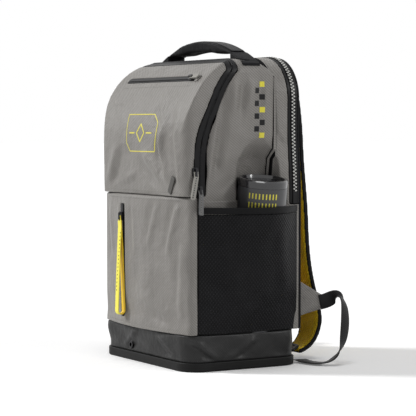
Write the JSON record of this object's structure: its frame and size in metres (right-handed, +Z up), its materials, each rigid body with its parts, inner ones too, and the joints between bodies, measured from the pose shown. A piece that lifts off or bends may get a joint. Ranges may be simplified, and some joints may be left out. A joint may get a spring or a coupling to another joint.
{
  "type": "racket backpack",
  "caption": "Upright racket backpack with a hinged front flap, zipped compartments, stretch side pockets, padded straps, a top handle and a lidded tumbler in one pocket.",
  "frame": {"origin": "on the face that the bag stands on, in the plane of symmetry of the base", "axes": "+Z up, -Y the front with the flap, +X the side with the tumbler"},
  "size_m": [0.4056, 0.3244, 0.545],
  "materials": {
    "grey_cloth": "woven ripstop",
    "coated_cloth": "coated cloth",
    "moulded_base": "moulded, matt",
    "board": "stiffener board",
    "eyelet_metal": "satin",
    "lining": "plain lining",
    "zip_tape": "coated zip tape",
    "zip_coil": "moulded coil",
    "zip_coil_light": "two-tone moulded coil",
    "black_cloth": "padded cloth",
    "yellow_mesh": "spacer mesh",
    "black_mesh": "ribbed stretch cloth",
    "binding": "elastic binding",
    "webbing": "woven webbing",
    "pull_grey": "moulded",
    "pull_dark": "moulded",
    "buckle": "moulded",
    "tumbler_metal": "satin lacquer",
    "tumbler_rim": "polished",
    "slider_metal": "dark lacquer",
    "puller_yellow": "soft coated webbing"
  },
  "bodies": {
    "bag": {"base": "moulded_base", "base_skirt": "coated_cloth", "base_board": "board", "vent_eyelet": "eyelet_metal", "main_back_wall": "lining", "main_floor": "lining", "main_front_wall": "lining", "side_panel_right": "grey_cloth", "side_panel_left": "grey_cloth", "top_panel": "grey_cloth", "main_zip_tape_bag": "zip_tape", "front_pocket": "grey_cloth", "pocket_zip_tape": "zip_tape", "pocket_zip_chain": "zip_coil", "racket_front_wall": "lining", "racket_gusset": "grey_cloth", "racket_zip_tape": "zip_tape", "racket_zip_chain": "zip_coil_light", "back_board": "black_cloth", "back_pads": "yellow_mesh", "lumbar_pad": "yellow_mesh", "strap_yoke": "black_cloth", "laptop_sleeve": "lining", "mesh_pocket_right": "black_mesh", "mesh_pocket_left": "black_mesh", "mesh_binding_right": "binding", "mesh_binding_left": "binding", "slip_pocket_right": "grey_cloth", "slip_pocket_left": "grey_cloth", "webbing_tab_right": "grey_cloth", "webbing_tab_left": "grey_cloth", "strap_webbing_right": "webbing", "strap_webbing_left": "webbing", "handle_patches": "webbing"},
    "flap": {"front_flap": "grey_cloth", "flap_zip_tape": "zip_tape", "flap_zip_chain": "zip_coil", "main_zip_tape_flap": "zip_tape", "flap_grip": "pull_grey"},
    "handle": {"handle_grip": "black_cloth", "handle_strip": "webbing"},
    "strap_right": {"strap_cover_right": "black_cloth", "strap_mesh_right": "yellow_mesh", "strap_buckle_right": "buckle"},
    "strap_left": {"strap_cover_left": "black_cloth", "strap_mesh_left": "yellow_mesh", "strap_buckle_left": "buckle"},
    "tumbler": {"tumbler_cup": "tumbler_metal", "tumbler_lid": "tumbler_rim"},
    "upper_slider": {"main_upper_slider": "slider_metal"},
    "upper_pull": {"main_upper_pull": "pull_grey"},
    "lower_slider": {"main_lower_slider": "slider_metal"},
    "lower_pull": {"main_lower_pull": "pull_dark"},
    "racket_zip_slider": {"racket_slider": "slider_metal"},
    "racket_zip_pull": {"racket_pull": "pull_dark"},
    "flap_zip_slider": {"flap_slider": "slider_metal"},
    "flap_zip_pull": {"flap_pull": "pull_grey"},
    "pocket_zip_slider": {"pocket_slider": "slider_metal"},
    "pocket_zip_puller": {"pocket_puller": "puller_yellow"}
  },
  "joints": [
    {"name": "flap_hinge", "type": "hinge", "parent": "bag", "child": "flap", "pos_m": [0, -0.116, 0.2855], "axis": [1, 0, 0], "range_deg": [0, 90]},
    {"name": "handle_hinge", "type": "hinge", "parent": "bag", "child": "handle", "pos_m": [0, 0.012, 0.521], "axis": [1, 0, 0], "range_deg": [-15, 15], "stiffness_Nm_per_rad": 0.5},
    {"name": "strap_right_hinge", "type": "hinge", "parent": "bag", "child": "strap_right", "pos_m": [0.084, 0.118, 0.484], "axis": [1, 0, 0], "range_deg": [0, 25]},
    {"name": "strap_left_hinge", "type": "hinge", "parent": "bag", "child": "strap_left", "pos_m": [-0.084, 0.118, 0.484], "axis": [1, 0, 0], "range_deg": [0, 25]},
    {"name": "tumbler_lift", "type": "slide", "parent": "bag", "child": "tumbler", "axis": [0.1392, 0, 0.9903], "range_m": [0, 0.025]},
    {"name": "upper_slide", "type": "slide", "parent": "bag", "child": "upper_slider", "axis": [0.0536, 0, 0.9986], "range_m": [0, 0.04]},
    {"name": "upper_pull_hinge", "type": "hinge", "parent": "upper_slider", "child": "upper_pull", "pos_m": [0.15046, -0.0965, 0.32583], "axis": [0, -1, 0], "range_deg": [0, 82]},
    {"name": "lower_slide", "type": "slide", "parent": "bag", "child": "lower_slider", "axis": [0.0184, 0, 0.9998], "range_m": [0, 0.014]},
    {"name": "lower_pull_hinge", "type": "hinge", "parent": "lower_slider", "child": "lower_pull", "pos_m": [0.14956, -0.088, 0.29594], "axis": [0, -1, 0], "range_deg": [0, 68]},
    {"name": "racket_slide", "type": "slide", "parent": "bag", "child": "racket_zip_slider", "axis": [0.0802, 0, 0.9968], "range_m": [0, 0.04]},
    {"name": "racket_pull_hinge", "type": "hinge", "parent": "racket_zip_slider", "child": "racket_zip_pull", "pos_m": [-0.15054, 0.096, 0.33026], "axis": [0, 1, 0], "range_deg": [0, 82]},
    {"name": "flap_slide", "type": "slide", "parent": "flap", "child": "flap_zip_slider", "axis": [-1, 0, 0], "range_m": [0, 0.2]},
    {"name": "flap_pull_hinge", "type": "hinge", "parent": "flap_zip_slider", "child": "flap_zip_pull", "pos_m": [0.104, -0.07921, 0.48215], "axis": [0, -0.7002, -0.7139], "range_deg": [0, 90]},
    {"name": "pocket_slide", "type": "slide", "parent": "bag", "child": "pocket_zip_slider", "axis": [0, 0, -1], "range_m": [0, 0.15]},
    {"name": "puller_hinge", "type": "hinge", "parent": "pocket_zip_slider", "child": "pocket_zip_puller", "pos_m": [-0.056, -0.1275, 0.247], "axis": [-0.9977, 0, -0.068], "range_deg": [0, 90]}
  ]
}
